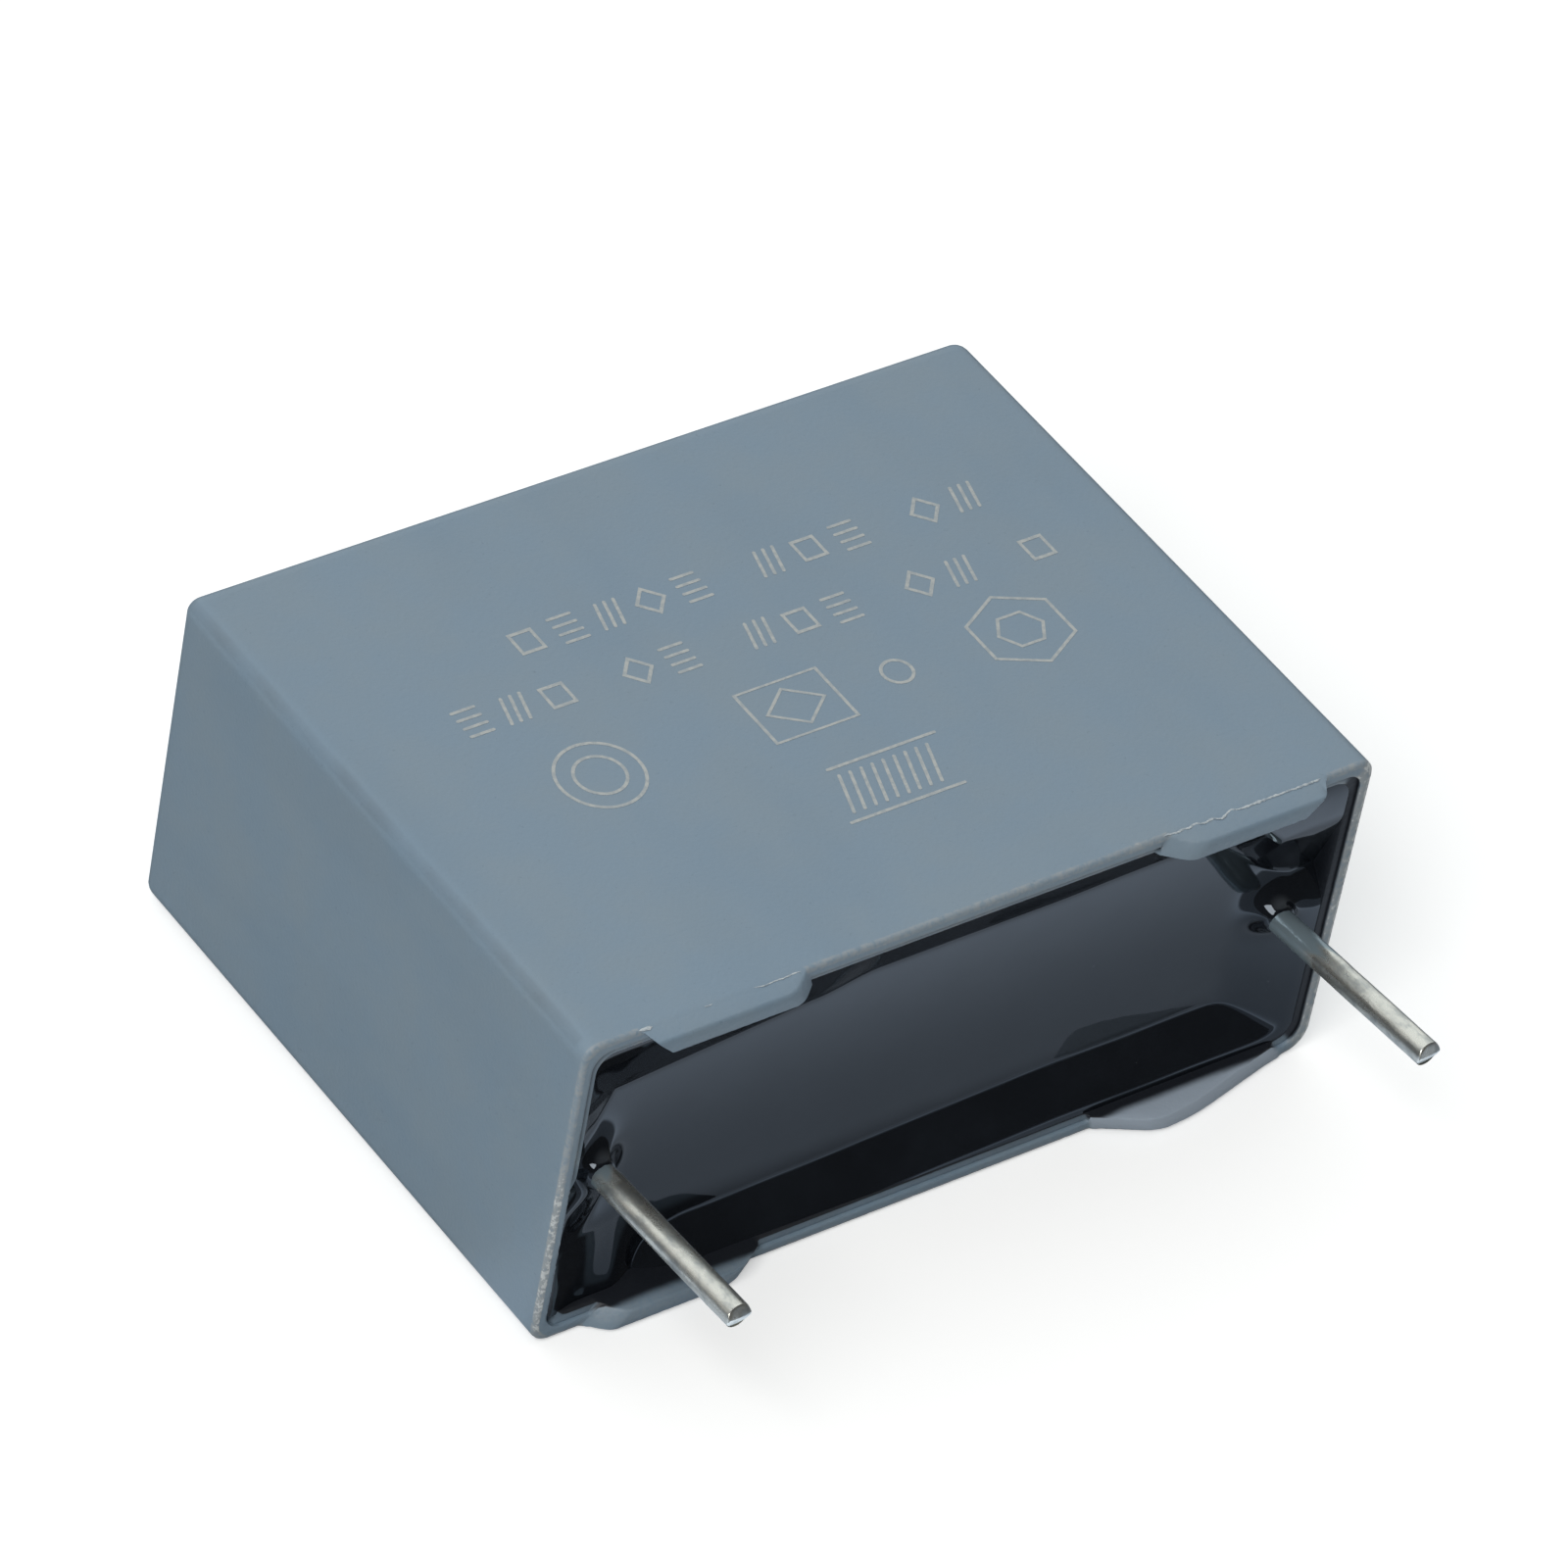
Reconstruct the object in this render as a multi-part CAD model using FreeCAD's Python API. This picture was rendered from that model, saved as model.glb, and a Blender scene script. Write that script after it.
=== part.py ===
import FreeCAD, Part
from collections import namedtuple
import math
import os

# Box film capacitor, lying on one large face as it would on a bench.
# Lengths are in millimetres and angles in degrees. X runs along the lead pitch, the leads
# point towards -Y, and +Z is up through the printed large face. The origin is the middle of
# the whole part's footprint, on the surface that it lies on.

# Moulded case
body_w = 25.8          # outside, along the lead pitch
body_h = 19.45         # outside, from the rim to the closed end
body_t = 10.75         # outside, between the two large faces
wall = 0.6             # side walls, measured at the rim
end_wall = 0.8         # closed end
core_draft = 0.4       # taper of the cavity, so that the core pulls out of the mould
edge_r = 0.5           # outside edges along the walls and round the closed end
corner_r = 0.6         # inside edges of the cavity along the walls
floor_r = 0.6          # inside edges round the closed end
rim_r = 0.15           # worn outer edge of the rim
step_w = 0.25          # rebate round the inner edge of the rim
step_d = 0.12

# Stand-off feet on the rim of the large walls, each measured from the nearer side of the body
Foot = namedtuple("Foot", "margin length rise outer_slant inner_slant")
upper_left = Foot(margin=1.75, length=5.3, rise=0.72, outer_slant=0.05, inner_slant=0.9)
upper_right = Foot(margin=1.65, length=5.3, rise=0.72, outer_slant=0.4, inner_slant=0.25)
lower_left = Foot(margin=1.5, length=5.5, rise=0.58, outer_slant=0.6, inner_slant=1.0)
lower_right = Foot(margin=0.75, length=6.7, rise=0.95, outer_slant=3.9, inner_slant=1.7)
foot_inset = 0.05      # how far a foot's face lies below the large face
foot_root = 0.3        # how far a foot is carried back into the wall
foot_corner_r = 0.3    # rounded ends of a foot
foot_edge_r = 0.12     # outer edge of a foot

# Potting resin
recess = 0.9           # flat of the resin, below the rim
meniscus_w = 2.0       # width of the band where the resin climbs the walls
meniscus_h = 0.7       # height of that climb
collar_r = 1.0         # foot of the small cone of resin round each lead
collar_h = 0.45        # height of that cone

# Wound element and its metal-sprayed ends
wire_inset = 1.15      # from each side of the open mouth to the middle of a wire
element_shift = -0.17  # the element sits this far off the middle along X, as it was poured
cover = 2.0            # from the rim to the element
floor_gap = 0.6        # between the element and the closed end
pour_gap = 0.55        # between the element and each large wall
winding_flat = 0.99    # flat left between the rounded sides of the pressed winding
contact_t = 0.5        # sprayed metal on each end of the winding

# Leads
lead_d = 0.8
weld_len = 9.0         # length that lies along the sprayed end
weld_sink = 0.1        # how deep the wire is welded into the sprayed metal
bend_r = 5.0           # bend where each lead leans over, measured to the wire's middle
left_reach = 5.7       # tip of the left lead, beyond the rim
right_reach = 5.9      # tip of the right lead, beyond the rim
left_lean = 2.8        # lean of each lead towards +X
right_lean = 4.7
tip_chamfer = 0.08

# Values that follow from the ones above
lead_r = lead_d / 2
overall_y = right_reach + (lead_r - tip_chamfer) * math.sin(math.radians(right_lean)) + body_h
rim_y = overall_y / 2 - body_h
mid_z = body_t / 2
cavity_d = body_h - end_wall
taper = cavity_d * math.tan(math.radians(core_draft))
mouth_w = body_w - 2 * wall
mouth_t = body_t - 2 * wall
lead_pitch = mouth_w - 2 * wire_inset
left_x = element_shift - lead_pitch / 2
right_x = element_shift + lead_pitch / 2
contact_out = lead_pitch / 2 - lead_r + weld_sink
winding_half = contact_out - contact_t
winding_t = mouth_t - 2 * taper - 2 * pour_gap
winding_r = (winding_t - winding_flat) / 2
winding_h = cavity_d - cover - floor_gap
over_cut = 1.0         # how far a cutting shape runs past the face it opens
same = 1e-4            # two places closer than this are the same place


def vec(x, y, z):
    """Shorthand for a point."""
    return FreeCAD.Vector(x, y, z)


def rounded_wire(corners, radii):
    """Closed wire through the corners, each turned with its own radius."""
    count = len(corners)
    turns = []
    for i, corner in enumerate(corners):
        before = (corners[i - 1] - corner).normalize()
        after = (corners[(i + 1) % count] - corner).normalize()
        half = before.getAngle(after) / 2
        middle = (before + after).normalize()
        reach = radii[i] / math.tan(half)
        crown = corner + middle * (radii[i] / math.sin(half) - radii[i])
        turns.append((corner + before * reach, crown, corner + after * reach))
    edges = []
    for i, (start, crown, end) in enumerate(turns):
        if radii[i] > 0:
            edges.append(Part.Arc(start, crown, end).toShape())
        edges.append(Part.makeLine(end, turns[(i + 1) % count][0]))
    return Part.Wire(edges)


def section(width, thickness, radius, y):
    """Rounded rectangle in the plane y, centred on the body."""
    x = width / 2
    z = thickness / 2
    corners = [vec(-x, y, mid_z - z), vec(x, y, mid_z - z), vec(x, y, mid_z + z), vec(-x, y, mid_z + z)]
    return rounded_wire(corners, [radius] * 4)


def edges_at(shape, y):
    """Edges that lie wholly in the plane y."""
    return [e for e in shape.Edges if all(abs(v.Y - y) < same for v in e.Vertexes)]


def outer_block():
    """The case before it is hollowed, with all its outside edges rounded."""
    block = Part.Face(section(body_w, body_t, edge_r, rim_y)).extrude(vec(0, body_h, 0))
    block = block.makeFillet(edge_r * 0.98, edges_at(block, rim_y + body_h))
    return block.makeFillet(rim_r, edges_at(block, rim_y))


def cavity():
    """The moulding core: tapered, rounded at its floor, and carried out past the rim."""
    widen = over_cut * math.tan(math.radians(core_draft))
    x_out, z_out = mouth_w / 2 + widen, mouth_t / 2 + widen
    x_in, z_in = mouth_w / 2 - taper, mouth_t / 2 - taper
    floor_y = rim_y + cavity_d
    core = Part.makeWedge(-x_out, rim_y - over_cut, mid_z - z_out, mid_z - z_in, -x_in,
                          x_out, floor_y, mid_z + z_out, mid_z + z_in, x_in)
    sides = [e for e in core.Edges if abs(e.Vertexes[0].Y - e.Vertexes[-1].Y) > same]
    core = core.makeFillet(corner_r, sides)
    return core.makeFillet(floor_r, edges_at(core, floor_y))


def rim_step():
    """The rebate that is cut round the inner edge of the rim."""
    mouth = section(mouth_w + 2 * step_w, mouth_t + 2 * step_w, corner_r + step_w, rim_y - over_cut)
    return Part.Face(mouth).extrude(vec(0, over_cut + step_d, 0))


def foot(size, side, upper):
    """One stand-off foot: a plate with a slanted, rounded outline that stands out of the rim."""
    base = rim_y + foot_root
    end = rim_y - size.rise
    outer = body_w / 2 - size.margin
    inner = outer - size.length
    line = [(inner, base), (inner, rim_y), (inner + size.inner_slant, end)]
    line += [(outer - size.outer_slant, end), (outer, rim_y), (outer, base)]
    face_z = body_t - foot_inset if upper else foot_inset
    thickness = wall - foot_inset
    corners = [vec(side * x, y, face_z) for x, y in line]
    outline = rounded_wire(corners, [0, 0, foot_corner_r, foot_corner_r, 0, 0])
    plate = Part.Face(outline).extrude(vec(0, 0, -thickness if upper else thickness))
    brow = [e for e in plate.Edges
            if all(abs(v.Z - face_z) < same and v.Y < rim_y + same for v in e.Vertexes)]
    return plate.makeFillet(foot_edge_r, brow)


def case():
    """The moulded box: hollow block, rebated rim and four stand-off feet."""
    shell = outer_block().cut(rim_step())
    feet = [foot(upper_left, -1, True), foot(upper_right, 1, True),
            foot(lower_left, -1, False), foot(lower_right, 1, False)]
    return shell.fuse(feet).cut(cavity()).removeSplitter()


def lead(x, reach, lean):
    """One round wire: straight out through its cone of resin, then bent over to its lean."""
    start_y = rim_y + cover + weld_len
    bend_y = rim_y + recess - collar_h
    angle = math.radians(lean)
    turn = vec(x + bend_r * (1 - math.cos(angle)), bend_y - bend_r * math.sin(angle), mid_z)
    half = angle / 2
    crown = vec(x + bend_r * (1 - math.cos(half)), bend_y - bend_r * math.sin(half), mid_z)
    run = (turn.y - (rim_y - reach)) / math.cos(angle)
    tip = turn + vec(math.sin(angle), -math.cos(angle), 0) * run
    start = vec(x, start_y, mid_z)
    bend = vec(x, bend_y, mid_z)
    path = Part.Wire([Part.makeLine(start, bend), Part.Arc(bend, crown, turn).toShape(),
                      Part.makeLine(turn, tip)])
    ring = Part.Wire(Part.makeCircle(lead_r, start, vec(0, -1, 0)))
    wire = path.makePipeShell([ring], True, True)
    ends = [e for e in wire.Edges if e.isClosed() and e.BoundBox.Center.y < rim_y - reach + lead_r]
    return wire.makeChamfer(tip_chamfer, ends)


def winding_section(x):
    """Outline of the pressed winding in the plane x."""
    low_y = rim_y + cover
    high_y = low_y + winding_h
    low_z = mid_z - winding_t / 2
    high_z = mid_z + winding_t / 2
    corners = [vec(x, low_y, low_z), vec(x, high_y, low_z), vec(x, high_y, high_z), vec(x, low_y, high_z)]
    return Part.Face(rounded_wire(corners, [winding_r] * 4))


def film_winding():
    """The wound and pressed films, as one solid."""
    face = winding_section(element_shift - winding_half)
    return face.extrude(vec(2 * winding_half, 0, 0))


def end_contact(side, wire):
    """Metal sprayed on one end of the winding, with the groove that the wire is welded into."""
    face = winding_section(element_shift + side * winding_half)
    return face.extrude(vec(side * contact_t, 0, 0)).cut(wire)


def dished_fill(half, place, sweep):
    """Resin under a surface that climbs at two facing walls, swept along the other direction."""
    top_y = rim_y + recess
    deep_y = rim_y + body_h
    radius = (meniscus_w ** 2 + meniscus_h ** 2) / (2 * meniscus_h)
    past = meniscus_w + wall / 2
    flat = (half - meniscus_w, top_y)
    crown, lip = [(flat[0] + d, top_y - radius + math.sqrt(radius ** 2 - d ** 2)) for d in (past / 2, past)]
    lip_r, flat_r, crown_r = place(*lip), place(*flat), place(*crown)
    lip_l, flat_l, crown_l = place(-lip[0], lip[1]), place(-flat[0], flat[1]), place(-crown[0], crown[1])
    deep_r, deep_l = place(lip[0], deep_y), place(-lip[0], deep_y)
    edges = [Part.makeLine(flat_l, flat_r), Part.Arc(flat_r, crown_r, lip_r).toShape(),
             Part.makeLine(lip_r, deep_r), Part.makeLine(deep_r, deep_l), Part.makeLine(deep_l, lip_l),
             Part.Arc(lip_l, crown_l, flat_l).toShape()]
    return Part.Face(Part.Wire(edges)).extrude(sweep)


def collar(x):
    """The cone of resin that climbs one lead."""
    top_y = rim_y + recess
    tip_y = top_y - collar_h
    reach = collar_r - lead_r
    belly = vec(x + lead_r + reach * 0.3, top_y - collar_h * 0.3, mid_z)
    corners = [vec(x, tip_y, mid_z), vec(x + lead_r, tip_y, mid_z), vec(x + collar_r, top_y, mid_z),
               vec(x + collar_r, rim_y + cover, mid_z), vec(x, rim_y + cover, mid_z)]
    edges = [Part.makeLine(corners[0], corners[1]), Part.Arc(corners[1], belly, corners[2]).toShape(),
             Part.makeLine(corners[2], corners[3]), Part.makeLine(corners[3], corners[4]),
             Part.makeLine(corners[4], corners[0])]
    return Part.Face(Part.Wire(edges)).revolve(vec(x, 0, mid_z), vec(0, 1, 0), 360)


def potting_resin(contents):
    """Resin that fills the case round the element, dished at its open face."""
    along_x = dished_fill(mouth_t / 2, lambda a, y: vec(-body_w / 2, y, mid_z + a), vec(body_w, 0, 0))
    along_z = dished_fill(mouth_w / 2, lambda a, y: vec(a, y, 0), vec(0, 0, body_t))
    fill = along_x.fuse([along_z, collar(left_x), collar(right_x)]).common(cavity())
    for piece in contents:
        fill = fill.cut(piece)
    return fill


lead_left = lead(left_x, left_reach, left_lean)
lead_right = lead(right_x, right_reach, right_lean)
winding = film_winding()
contact_left = end_contact(-1, lead_left)
contact_right = end_contact(1, lead_right)
inside = [winding, contact_left, contact_right, lead_left, lead_right]

nodes = {
    "case": case(),
    "potting_resin": potting_resin(inside),
    "film_winding": winding,
    "end_contact_left": contact_left,
    "end_contact_right": contact_right,
    "lead_left": lead_left,
    "lead_right": lead_right,
}

os.makedirs("parts", exist_ok=True)
for name, shape in nodes.items():
    solid = shape.Solids[0]
    solid.exportStep("parts/" + name + ".step")
    print(name, "solids:", len(shape.Solids), "valid:", solid.isValid(), "volume:", round(solid.Volume, 3))
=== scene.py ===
import logging
import math
from collections.abc import Callable, Mapping
from dataclasses import dataclass
from enum import Enum
from typing import Any

import bmesh
import bpy
from bmesh.types import BMEdge, BMesh, BMVert
from bpy.types import ID, Material, Node, NodeSocket, Object, World
from mathutils import Matrix, Vector, noise


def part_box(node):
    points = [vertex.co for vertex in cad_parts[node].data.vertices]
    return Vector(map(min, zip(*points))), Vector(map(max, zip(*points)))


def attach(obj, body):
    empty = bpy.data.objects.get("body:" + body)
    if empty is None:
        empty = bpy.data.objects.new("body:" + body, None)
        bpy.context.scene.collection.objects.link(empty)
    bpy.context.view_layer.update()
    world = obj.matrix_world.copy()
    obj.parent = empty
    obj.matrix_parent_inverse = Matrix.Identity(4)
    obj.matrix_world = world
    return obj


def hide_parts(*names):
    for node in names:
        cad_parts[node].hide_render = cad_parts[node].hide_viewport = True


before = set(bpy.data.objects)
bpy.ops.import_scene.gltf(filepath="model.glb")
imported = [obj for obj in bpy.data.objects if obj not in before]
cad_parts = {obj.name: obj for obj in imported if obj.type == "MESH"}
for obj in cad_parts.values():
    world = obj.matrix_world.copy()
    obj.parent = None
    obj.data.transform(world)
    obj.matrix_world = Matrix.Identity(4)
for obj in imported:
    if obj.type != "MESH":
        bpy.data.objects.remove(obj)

# A box film capacitor that lies on one large face: moulded case, dark potting resin and two
# tinned wires. Shapes are worked out in millimetres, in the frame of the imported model, and each
# mesh is scaled to metres when it is finished.

MM = 0.001
BODY = "root"
UPRIGHT = Matrix.Rotation(math.radians(90), 4, "X")     # turns a level grid or circle to face -Y
log = logging.getLogger("capacitor")
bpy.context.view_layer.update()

Colour = tuple[float, float, float, float]
Triple = tuple[float, float, float]
Pair = tuple[float, float]


class Slot(Enum):
    """The record's material slots for the made pieces; no piece is given one here."""

    CASE = "case_plastic"
    RESIN = "potting_epoxy"
    WIRE = "tinned_wire"


def display_colour(red: int, green: int, blue: int) -> Colour:
    """The linear colour that a screen shows as these 8-bit values, with an alpha of 1."""
    shares = [level / 255 for level in (red, green, blue)]
    return (*(s / 12.92 if s <= 0.04045 else ((s + 0.055) / 1.055) ** 2.4 for s in shares), 1.0)


def soft_min(first: float, second: float, reach: float) -> float:
    """The lesser of two heights, rounded where they are nearer to each other than reach."""
    near = max(reach - abs(first - second), 0.0)
    return min(first, second) - near * near / (4 * reach)


def smooth_step(low: float, high: float, value: float) -> float:
    """A smooth rise from 0 at low to 1 at high."""
    share = min(max((value - low) / (high - low), 0.0), 1.0)
    return share * share * (3 - 2 * share)


@dataclass(frozen=True)
class Fade:
    """A smooth change between two places: 0 up to the first, an amount from the second on."""

    start: float
    end: float
    amount: float = 1.0

    def at(self, place: float) -> float:
        """The change at one place."""
        return self.amount * smooth_step(self.start, self.end, place)


FACING = Fade(0.3, 0.8)      # over a direction: how far a point of an outline is on that side


class Value:
    """A number that varies over a surface, so that shader maths reads as Python."""

    def __init__(self, shader: "Shader", socket: NodeSocket) -> None:
        """Wraps an output socket of a shader's tree."""
        self.shader = shader
        self.socket = socket

    def _maths(self, operation: str, first: Any, second: Any) -> "Value":
        """The result of one Math node, from values or numbers."""
        made = self.shader.node("ShaderNodeMath", {"operation": operation}, {0: first, 1: second})
        return Value(self.shader, made.outputs[0])

    def __add__(self, other: Any) -> "Value":
        """Sum."""
        return self._maths("ADD", self, other)

    __radd__ = __add__

    def __sub__(self, other: Any) -> "Value":
        """Difference."""
        return self._maths("SUBTRACT", self, other)

    def __rsub__(self, other: Any) -> "Value":
        """Difference, with the value on the right."""
        return self._maths("SUBTRACT", other, self)

    def __mul__(self, other: Any) -> "Value":
        """Product."""
        return self._maths("MULTIPLY", self, other)

    __rmul__ = __mul__

    def power(self, exponent: float) -> "Value":
        """The value raised to a power."""
        return self._maths("POWER", self, exponent)

    def stepped(self, low: float, high: float) -> "Value":
        """A smooth rise from 0 where the value is low to 1 where it is high."""
        made = self.shader.node(
            "ShaderNodeMapRange", {"interpolation_type": "SMOOTHSTEP"},
            {"Value": self, "From Min": low, "From Max": high})
        return Value(self.shader, made.outputs["Result"])


class Shader:
    """One node tree, built up node by node."""

    def __init__(self, owner: Material | World) -> None:
        """Clears the owner's tree.

        Args:
            owner: The material or the world that the tree belongs to.
        """
        owner.use_nodes = True
        self.owner = owner
        self.tree = owner.node_tree
        self.tree.nodes.clear()

    def node(self, kind: str, settings: Mapping[str, Any] | None = None,
             sockets: Mapping[str | int, Any] | None = None) -> Node:
        """Adds one node.

        Args:
            kind: The node's type.
            settings: Properties of the node, set before its sockets.
            sockets: Values, links or numbers for its inputs, by name or by place.

        Returns:
            The node.
        """
        made = self.tree.nodes.new(kind)
        for name, setting in (settings or {}).items():
            setattr(made, name, setting)
        for name, given in (sockets or {}).items():
            source = given.socket if isinstance(given, Value) else given
            if isinstance(source, NodeSocket):
                self.tree.links.new(source, made.inputs[name])
            else:
                made.inputs[name].default_value = source
        return made

    def place(self, stretch: Triple = (1, 1, 1)) -> NodeSocket:
        """Object coordinates in millimetres, made finer along each axis."""
        sockets = {"Vector": self.node("ShaderNodeTexCoord").outputs["Object"],
                   "Scale": tuple(share / MM for share in stretch)}
        return self.node("ShaderNodeMapping", {}, sockets).outputs[0]

    def axis(self, name: str) -> Value:
        """One of the object coordinates, in millimetres: "X", "Y" or "Z"."""
        made = self.node("ShaderNodeSeparateXYZ", {}, {0: self.place()})
        return Value(self, made.outputs[name])

    def cloud(self, size: float, detail: float = 2.0, coarse: float = 0.5,
              stretch: Triple = (1, 1, 1)) -> Value:
        """Soft noise from 0 to 1, with blotches of this size and finer octaves this strong."""
        made = self.node("ShaderNodeTexNoise", {}, {
            "Vector": self.place(stretch), "Scale": 1 / size, "Detail": detail,
            "Roughness": coarse})
        return Value(self, made.outputs["Fac"])

    def cells(self, size: float) -> Value:
        """Distance to the nearest of many scattered points, in cells of this size."""
        made = self.node("ShaderNodeTexVoronoi", {}, {"Vector": self.place(), "Scale": 1 / size})
        return Value(self, made.outputs["Distance"])

    def painted(self, name: str) -> Value:
        """A number that the mesh carries at its points."""
        made = self.node("ShaderNodeAttribute", {"attribute_name": name})
        return Value(self, made.outputs["Fac"])

    def mixed(self, share: Any, first: Any, second: Any) -> NodeSocket:
        """A blend of two colours, with this share of the second one."""
        made = self.node("ShaderNodeMix", {"data_type": "RGBA"}, {0: share, 6: first, 7: second})
        return made.outputs[2]

    def bump(self, height: Value, depth: float, normal: NodeSocket | None = None) -> NodeSocket:
        """A normal from a height of 0 to 1 and its depth in millimetres, laid on another."""
        sockets = {"Height": height, "Distance": depth * MM,
                   **({} if normal is None else {"Normal": normal})}
        return self.node("ShaderNodeBump", {}, sockets).outputs[0]

    def finish(self, sockets: Mapping[str, Any]) -> Material:
        """Ends the tree in one Principled shader.

        Args:
            sockets: The shader's inputs.

        Returns:
            The material that owns the tree.
        """
        surface = self.node("ShaderNodeBsdfPrincipled", {}, sockets).outputs[0]
        self.node("ShaderNodeOutputMaterial", {}, {"Surface": surface})
        return self.owner


def material_shader(name: str) -> Shader:
    """The empty shader of a new material."""
    return Shader(bpy.data.materials.new(name))


@dataclass(frozen=True)
class MouldedPlastic:
    """Blue-grey filled plastic with a fine mould grain, a soft mottle, rubbed edges and resin
    smears; also painted light: pale painted highlights on edges and feet, and painted shade along
    one edge and in the rebate.
    """

    body: Colour = display_colour(125, 145, 161)
    warm: Colour = display_colour(133, 147, 156)
    deep: Colour = display_colour(114, 136, 154)
    # pale worn colour, also used for painted highlights on the edges and painted light on the lower
    # feet
    rubbed_and_lit: Colour = display_colour(162, 166, 167)
    stain: Colour = display_colour(96, 112, 124)
    chipped: Colour = display_colour(198, 203, 204)
    bright: Colour = display_colour(172, 184, 197)   # painted highlight on the lower right foot
    smear_and_shade: Colour = display_colour(24, 28, 35)       # of resin smears, also painted shade on an edge and in the rebate
    roughness: float = 0.42
    mottle_size: float = 2.6
    streak_size: float = 3.5
    speck_size: float = 0.16
    grain_size: float = 0.13
    grain_depth: float = 0.012

    def material(self) -> Material:
        """Builds the finish.

        Returns:
            The material.
        """
        shader = material_shader("moulded_plastic")
        mottle = shader.cloud(self.mottle_size, 5, 0.62)
        streaks = shader.cloud(self.streak_size, 3, stretch=(1, 0.35, 1))
        speckle = shader.cloud(self.speck_size, 2, 0.7)
        worn_and_lit = shader.painted("wear_and_painted_light")
        colour = shader.mixed(mottle.stepped(0.32, 0.7) * 0.45, self.body, self.warm)
        colour = shader.mixed(streaks.stepped(0.45, 0.75) * 0.3, colour, self.deep)
        colour = shader.mixed(speckle.stepped(0.35, 0.2) * 0.35, colour, self.stain)
        # rubbed edges: partly real wear, partly painted highlight
        edge = worn_and_lit * (speckle.stepped(0.3, 0.6) * 0.6 + 0.4)
        colour = shader.mixed(edge.stepped(0.05, 0.9) * 0.8, colour, self.rubbed_and_lit)
        colour = shader.mixed((worn_and_lit * speckle).stepped(0.5, 0.62), colour, self.chipped)
        # painted highlight: the lower right foot is made paler and bluer, as if it caught the light
        colour = shader.mixed(shader.painted("painted_highlight") * 0.9, colour, self.bright)
        # resin smears, and painted shade on the top left edge and in the rebate's step
        soiled_and_shaded = (shader.painted("soil_and_shade") + (mottle - 0.5) * 0.3).stepped(0.15, 0.85)
        colour = shader.mixed(soiled_and_shaded, colour, self.smear_and_shade)
        rough = self.roughness + (mottle - 0.5) * 0.14 + edge * 0.15
        normal = shader.bump(shader.cloud(self.grain_size), self.grain_depth)
        return shader.finish({"Base Color": colour, "Roughness": rough, "Normal": normal,
                              "IOR": 1.5})


@dataclass(frozen=True)
class PottingEpoxy:
    """Near-black epoxy with a poured, mirror-like skin."""

    body: Colour = display_colour(20, 23, 28)
    dusty: Colour = display_colour(30, 34, 40)
    dust: Colour = display_colour(110, 118, 122)
    sheen: Colour = (0.80, 0.90, 1.0, 1.0)
    roughness: float = 0.035
    haze_size: float = 1.8
    speck_size: float = 0.42
    ripple_size: float = 1.4
    ripple_depth: float = 0.006

    def material(self) -> Material:
        """Builds the finish.

        Returns:
            The material.
        """
        shader = material_shader("potting_epoxy")
        haze = shader.cloud(self.haze_size, 4, 0.6)
        specks = shader.cells(self.speck_size).stepped(0.06, 0.02)
        specks = specks * shader.cloud(1.1).stepped(0.52, 0.7)
        colour = shader.mixed(haze.stepped(0.35, 0.75) * 0.5, self.body, self.dusty)
        colour = shader.mixed(specks * 0.5, colour, self.dust)
        rough = self.roughness + haze.stepped(0.4, 0.8) * 0.03 + specks * 0.4
        normal = shader.bump(shader.cloud(self.ripple_size, 1), self.ripple_depth)
        return shader.finish({"Base Color": colour, "Roughness": rough, "Normal": normal,
                              "IOR": 1.6, "Specular Tint": self.sheen})


@dataclass(frozen=True)
class TinnedWire:
    """Drawn wire with a dull tin coat, fine scrapes, and a dark film of resin near its root."""

    tin: Colour = display_colour(240, 239, 229)
    dull: Colour = display_colour(196, 199, 195)
    stained: Colour = display_colour(150, 168, 176)
    roughness: float = 0.30
    metallic: float = 0.92
    scrape_size: float = 0.09
    scrape_depth: float = 0.006
    patch_size: float = 0.35
    patch_depth: float = 0.009

    def material(self) -> Material:
        """Builds the finish.

        Returns:
            The material.
        """
        shader = material_shader("tinned_wire")
        scrape = shader.cloud(self.scrape_size, 3, 0.7, (1, 0.12, 1))
        patch = shader.cloud(self.patch_size, 3, 0.6, (1, 0.6, 1))
        film = shader.painted("film")
        colour = shader.mixed(patch.stepped(0.42, 0.68), self.tin, self.dull)
        colour = shader.mixed(film, colour, self.stained)
        rough = self.roughness + (patch - 0.5) * 0.3 - film * 0.16
        normal = shader.bump(scrape, self.scrape_depth, shader.bump(patch, self.patch_depth))
        return shader.finish({"Base Color": colour, "Roughness": rough, "Normal": normal,
                              "Metallic": self.metallic - film * 0.4})


@dataclass(frozen=True)
class PatchyFinish:
    """A finish of two colours in soft patches, which also make it uneven."""

    name: str
    dark: Colour
    light: Colour
    roughness: float
    size: float              # width of a patch, in millimetres
    depth: float             # height of its bumps, in millimetres
    detail: float = 3.0      # finer octaves of the patches
    coarse: float = 0.5      # how strong those are
    uneven: float = 0.3      # how much the roughness varies
    metallic: float = 0.0
    stretch: Triple = (1, 1, 1)
    span: Pair = (0.35, 0.65)    # noise at which the patches turn dark and light

    def material(self) -> Material:
        """Builds the finish.

        Returns:
            The material.
        """
        shader = material_shader(self.name)
        patch = shader.cloud(self.size, self.detail, self.coarse, self.stretch)
        colour = shader.mixed(patch.stepped(*self.span), self.dark, self.light)
        rough = self.roughness + (patch - 0.5) * self.uneven
        return shader.finish({"Base Color": colour, "Roughness": rough,
                              "Metallic": self.metallic, "Normal": shader.bump(patch, self.depth)})


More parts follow.
